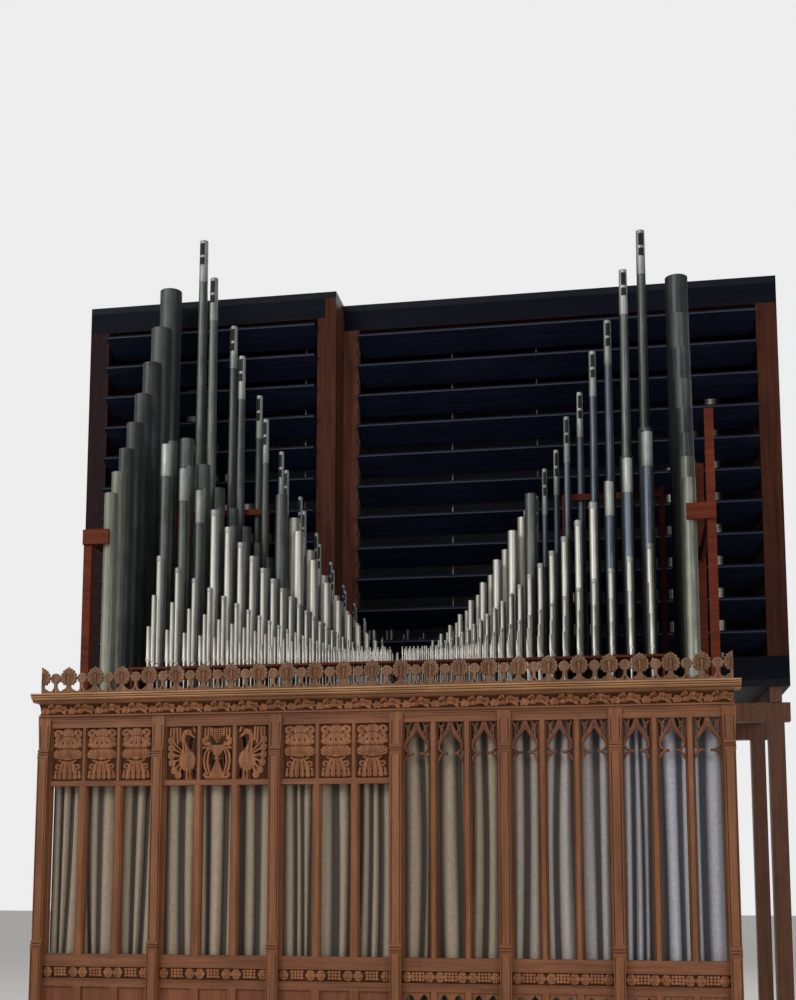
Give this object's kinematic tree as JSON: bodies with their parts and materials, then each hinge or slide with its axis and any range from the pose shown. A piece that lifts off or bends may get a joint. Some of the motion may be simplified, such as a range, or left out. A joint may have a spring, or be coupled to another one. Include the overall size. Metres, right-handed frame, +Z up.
{
  "type": "pipe organ",
  "caption": "Pipe organ with a carved oak screen and cresting, open great pipes in V-shaped ranks, side basses and a raised swell box with two banks of louvred shades.",
  "frame": {"origin": "on the floor, under the middle of the whole organ", "axes": "+X along the screen to the viewer's right, +Y back into the organ, +Z up"},
  "size_m": [4.66, 3.492, 5.605],
  "materials": {
    "oak": "waxed oiled oak, medium brown",
    "red_oak": "red-brown polished oak",
    "crest_oak": "dry greyish oak",
    "gilt_oak": "lighter oak moulding with worn edges",
    "curtain_cloth": "matte woven cloth, greige",
    "rod_brass": "dull brass",
    "frame_pine": "stained softwood",
    "chest_pine": "varnished softwood",
    "rack_pine": "red-orange varnished softwood",
    "spotted_metal": "pale planed pipe metal",
    "zinc": "dark grey rolled zinc",
    "box_black": "near-black paint",
    "swell_red": "dark red-brown stained wood",
    "shade_black": "near-black paint, pale worn edges",
    "stay_steel": "bright rod",
    "wind_pine": "sized softwood"
  },
  "bodies": {
    "organ": {"screen_posts": "oak", "screen_rails": "oak", "vine_rail": "oak", "lower_panels": "red_oak", "lower_tracery": "oak", "panel_lights": "oak", "carved_panels": "oak", "tracery_lights": "oak", "frieze_board": "oak", "cornice": "gilt_oak", "cresting": "crest_oak", "upper_curtains": "curtain_cloth", "lower_curtains": "curtain_cloth", "curtain_rods": "rod_brass", "building_frame": "frame_pine", "great_chest": "chest_pine", "great_rackboard": "rack_pine", "pipe_racks": "rack_pine", "passage_board": "chest_pine", "mixture": "spotted_metal", "fifteenth": "spotted_metal", "principal": "spotted_metal", "octave": "zinc", "stopped_flute": "zinc", "open_diapason": "zinc", "viola": "zinc", "bass_pipes": "zinc", "bass_chests": "chest_pine", "swell_floor": "box_black", "swell_back": "box_black", "swell_sides": "box_black", "swell_front": "swell_red", "swell_roof": "box_black", "shade_stays": "stay_steel", "swell_chest": "chest_pine", "swell_pipes": "spotted_metal", "reservoir": "wind_pine", "wind_trunks": "wind_pine"},
    "shade_left_01": {"shade_left_01": "shade_black"},
    "shade_left_02": {"shade_left_02": "shade_black"},
    "shade_left_03": {"shade_left_03": "shade_black"},
    "shade_left_04": {"shade_left_04": "shade_black"},
    "shade_left_05": {"shade_left_05": "shade_black"},
    "shade_left_06": {"shade_left_06": "shade_black"},
    "shade_left_07": {"shade_left_07": "shade_black"},
    "shade_left_08": {"shade_left_08": "shade_black"},
    "shade_left_09": {"shade_left_09": "shade_black"},
    "shade_left_10": {"shade_left_10": "shade_black"},
    "shade_left_11": {"shade_left_11": "shade_black"},
    "shade_right_01": {"shade_right_01": "shade_black"},
    "shade_right_02": {"shade_right_02": "shade_black"},
    "shade_right_03": {"shade_right_03": "shade_black"},
    "shade_right_04": {"shade_right_04": "shade_black"},
    "shade_right_05": {"shade_right_05": "shade_black"},
    "shade_right_06": {"shade_right_06": "shade_black"},
    "shade_right_07": {"shade_right_07": "shade_black"},
    "shade_right_08": {"shade_right_08": "shade_black"},
    "shade_right_09": {"shade_right_09": "shade_black"},
    "shade_right_10": {"shade_right_10": "shade_black"},
    "shade_right_11": {"shade_right_11": "shade_black"}
  },
  "joints": [
    {"name": "shade_left_01_pivot", "type": "hinge", "parent": "organ", "child": "shade_left_01", "pos_m": [-1.4515, 0.026, 2.88], "axis": [1, 0, 0], "range_deg": [-60, 25]},
    {"name": "shade_left_02_pivot", "type": "hinge", "parent": "organ", "child": "shade_left_02", "pos_m": [-1.4515, 0.026, 3.094], "axis": [1, 0, 0], "range_deg": [-60, 25]},
    {"name": "shade_left_03_pivot", "type": "hinge", "parent": "organ", "child": "shade_left_03", "pos_m": [-1.4515, 0.026, 3.308], "axis": [1, 0, 0], "range_deg": [-60, 25]},
    {"name": "shade_left_04_pivot", "type": "hinge", "parent": "organ", "child": "shade_left_04", "pos_m": [-1.4515, 0.026, 3.522], "axis": [1, 0, 0], "range_deg": [-60, 25]},
    {"name": "shade_left_05_pivot", "type": "hinge", "parent": "organ", "child": "shade_left_05", "pos_m": [-1.4515, 0.026, 3.736], "axis": [1, 0, 0], "range_deg": [-60, 25]},
    {"name": "shade_left_06_pivot", "type": "hinge", "parent": "organ", "child": "shade_left_06", "pos_m": [-1.4515, 0.026, 3.95], "axis": [1, 0, 0], "range_deg": [-60, 25]},
    {"name": "shade_left_07_pivot", "type": "hinge", "parent": "organ", "child": "shade_left_07", "pos_m": [-1.4515, 0.026, 4.164], "axis": [1, 0, 0], "range_deg": [-60, 25]},
    {"name": "shade_left_08_pivot", "type": "hinge", "parent": "organ", "child": "shade_left_08", "pos_m": [-1.4515, 0.026, 4.378], "axis": [1, 0, 0], "range_deg": [-60, 25]},
    {"name": "shade_left_09_pivot", "type": "hinge", "parent": "organ", "child": "shade_left_09", "pos_m": [-1.4515, 0.026, 4.592], "axis": [1, 0, 0], "range_deg": [-60, 25]},
    {"name": "shade_left_10_pivot", "type": "hinge", "parent": "organ", "child": "shade_left_10", "pos_m": [-1.4515, 0.026, 4.806], "axis": [1, 0, 0], "range_deg": [-60, 25]},
    {"name": "shade_left_11_pivot", "type": "hinge", "parent": "organ", "child": "shade_left_11", "pos_m": [-1.4515, 0.026, 5.02], "axis": [1, 0, 0], "range_deg": [-60, 25]},
    {"name": "shade_right_01_pivot", "type": "hinge", "parent": "organ", "child": "shade_right_01", "pos_m": [0.862, 0.276, 2.88], "axis": [1, 0, 0], "range_deg": [-60, 25]},
    {"name": "shade_right_02_pivot", "type": "hinge", "parent": "organ", "child": "shade_right_02", "pos_m": [0.862, 0.276, 3.094], "axis": [1, 0, 0], "range_deg": [-60, 25]},
    {"name": "shade_right_03_pivot", "type": "hinge", "parent": "organ", "child": "shade_right_03", "pos_m": [0.862, 0.276, 3.308], "axis": [1, 0, 0], "range_deg": [-60, 25]},
    {"name": "shade_right_04_pivot", "type": "hinge", "parent": "organ", "child": "shade_right_04", "pos_m": [0.862, 0.276, 3.522], "axis": [1, 0, 0], "range_deg": [-60, 25]},
    {"name": "shade_right_05_pivot", "type": "hinge", "parent": "organ", "child": "shade_right_05", "pos_m": [0.862, 0.276, 3.736], "axis": [1, 0, 0], "range_deg": [-60, 25]},
    {"name": "shade_right_06_pivot", "type": "hinge", "parent": "organ", "child": "shade_right_06", "pos_m": [0.862, 0.276, 3.95], "axis": [1, 0, 0], "range_deg": [-60, 25]},
    {"name": "shade_right_07_pivot", "type": "hinge", "parent": "organ", "child": "shade_right_07", "pos_m": [0.862, 0.276, 4.164], "axis": [1, 0, 0], "range_deg": [-60, 25]},
    {"name": "shade_right_08_pivot", "type": "hinge", "parent": "organ", "child": "shade_right_08", "pos_m": [0.862, 0.276, 4.378], "axis": [1, 0, 0], "range_deg": [-60, 25]},
    {"name": "shade_right_09_pivot", "type": "hinge", "parent": "organ", "child": "shade_right_09", "pos_m": [0.862, 0.276, 4.592], "axis": [1, 0, 0], "range_deg": [-60, 25]},
    {"name": "shade_right_10_pivot", "type": "hinge", "parent": "organ", "child": "shade_right_10", "pos_m": [0.862, 0.276, 4.806], "axis": [1, 0, 0], "range_deg": [-60, 25]},
    {"name": "shade_right_11_pivot", "type": "hinge", "parent": "organ", "child": "shade_right_11", "pos_m": [0.862, 0.276, 5.02], "axis": [1, 0, 0], "range_deg": [-60, 25]}
  ],
  "couplings": [
    {"joint": "shade_left_02_pivot", "follows": "shade_left_01_pivot", "ratio": 1},
    {"joint": "shade_left_03_pivot", "follows": "shade_left_01_pivot", "ratio": 1},
    {"joint": "shade_left_04_pivot", "follows": "shade_left_01_pivot", "ratio": 1},
    {"joint": "shade_left_05_pivot", "follows": "shade_left_01_pivot", "ratio": 1},
    {"joint": "shade_left_06_pivot", "follows": "shade_left_01_pivot", "ratio": 1},
    {"joint": "shade_left_07_pivot", "follows": "shade_left_01_pivot", "ratio": 1},
    {"joint": "shade_left_08_pivot", "follows": "shade_left_01_pivot", "ratio": 1},
    {"joint": "shade_left_09_pivot", "follows": "shade_left_01_pivot", "ratio": 1},
    {"joint": "shade_left_10_pivot", "follows": "shade_left_01_pivot", "ratio": 1},
    {"joint": "shade_left_11_pivot", "follows": "shade_left_01_pivot", "ratio": 1},
    {"joint": "shade_right_02_pivot", "follows": "shade_right_01_pivot", "ratio": 1},
    {"joint": "shade_right_03_pivot", "follows": "shade_right_01_pivot", "ratio": 1},
    {"joint": "shade_right_04_pivot", "follows": "shade_right_01_pivot", "ratio": 1},
    {"joint": "shade_right_05_pivot", "follows": "shade_right_01_pivot", "ratio": 1},
    {"joint": "shade_right_06_pivot", "follows": "shade_right_01_pivot", "ratio": 1},
    {"joint": "shade_right_07_pivot", "follows": "shade_right_01_pivot", "ratio": 1},
    {"joint": "shade_right_08_pivot", "follows": "shade_right_01_pivot", "ratio": 1},
    {"joint": "shade_right_09_pivot", "follows": "shade_right_01_pivot", "ratio": 1},
    {"joint": "shade_right_10_pivot", "follows": "shade_right_01_pivot", "ratio": 1},
    {"joint": "shade_right_11_pivot", "follows": "shade_right_01_pivot", "ratio": 1}
  ]
}
